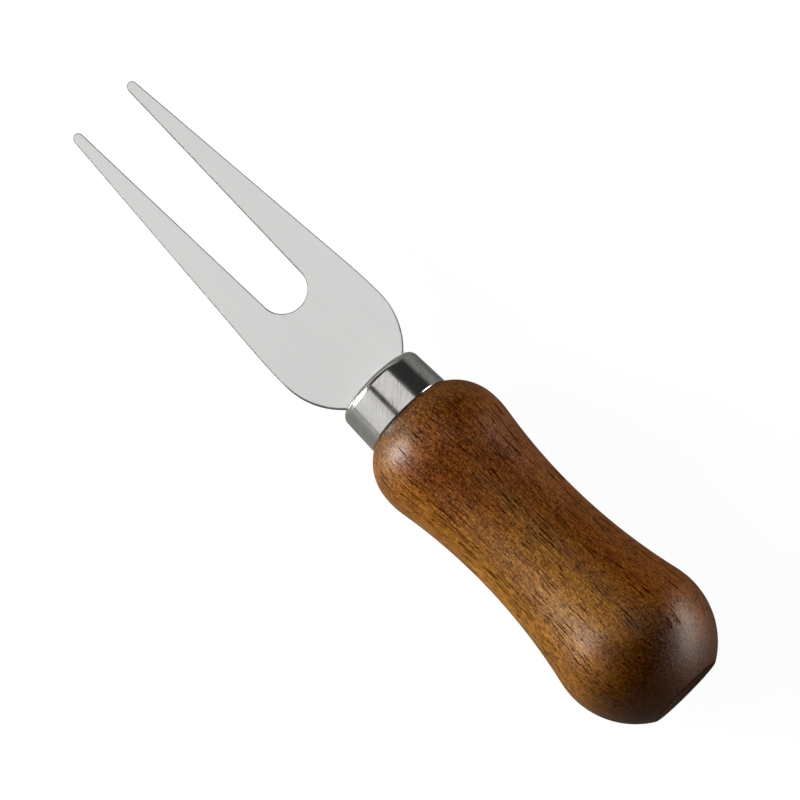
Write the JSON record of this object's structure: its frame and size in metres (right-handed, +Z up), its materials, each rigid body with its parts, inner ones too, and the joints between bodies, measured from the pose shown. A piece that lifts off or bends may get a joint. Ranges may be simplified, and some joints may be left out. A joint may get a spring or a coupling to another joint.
{
  "type": "two-tine cheese fork",
  "caption": "Short serving fork: flat stamped steel blade with straight tapered tines, plain steel ferrule and a turned wooden handle that swells at both ends.",
  "frame": {"origin": "middle of the flat butt face at the end of the handle", "axes": "+X along the handle's axis towards the tine tips, +Z up, square to the flat blade, +Y across the blade"},
  "size_m": [0.133, 0.026, 0.026],
  "materials": {
    "handle_wood": "acacia-like hardwood with dark pores, satin lacquer",
    "ferrule_steel": "polished, with fine diagonal wipe marks",
    "blade_steel": "satin brushed lengthwise, tumbled edges",
    "epoxy": "cured adhesive"
  },
  "bodies": {
    "root": {"handle": "handle_wood", "ferrule": "ferrule_steel", "fork_blade": "blade_steel", "tang_epoxy": "epoxy"}
  },
  "joints": []
}
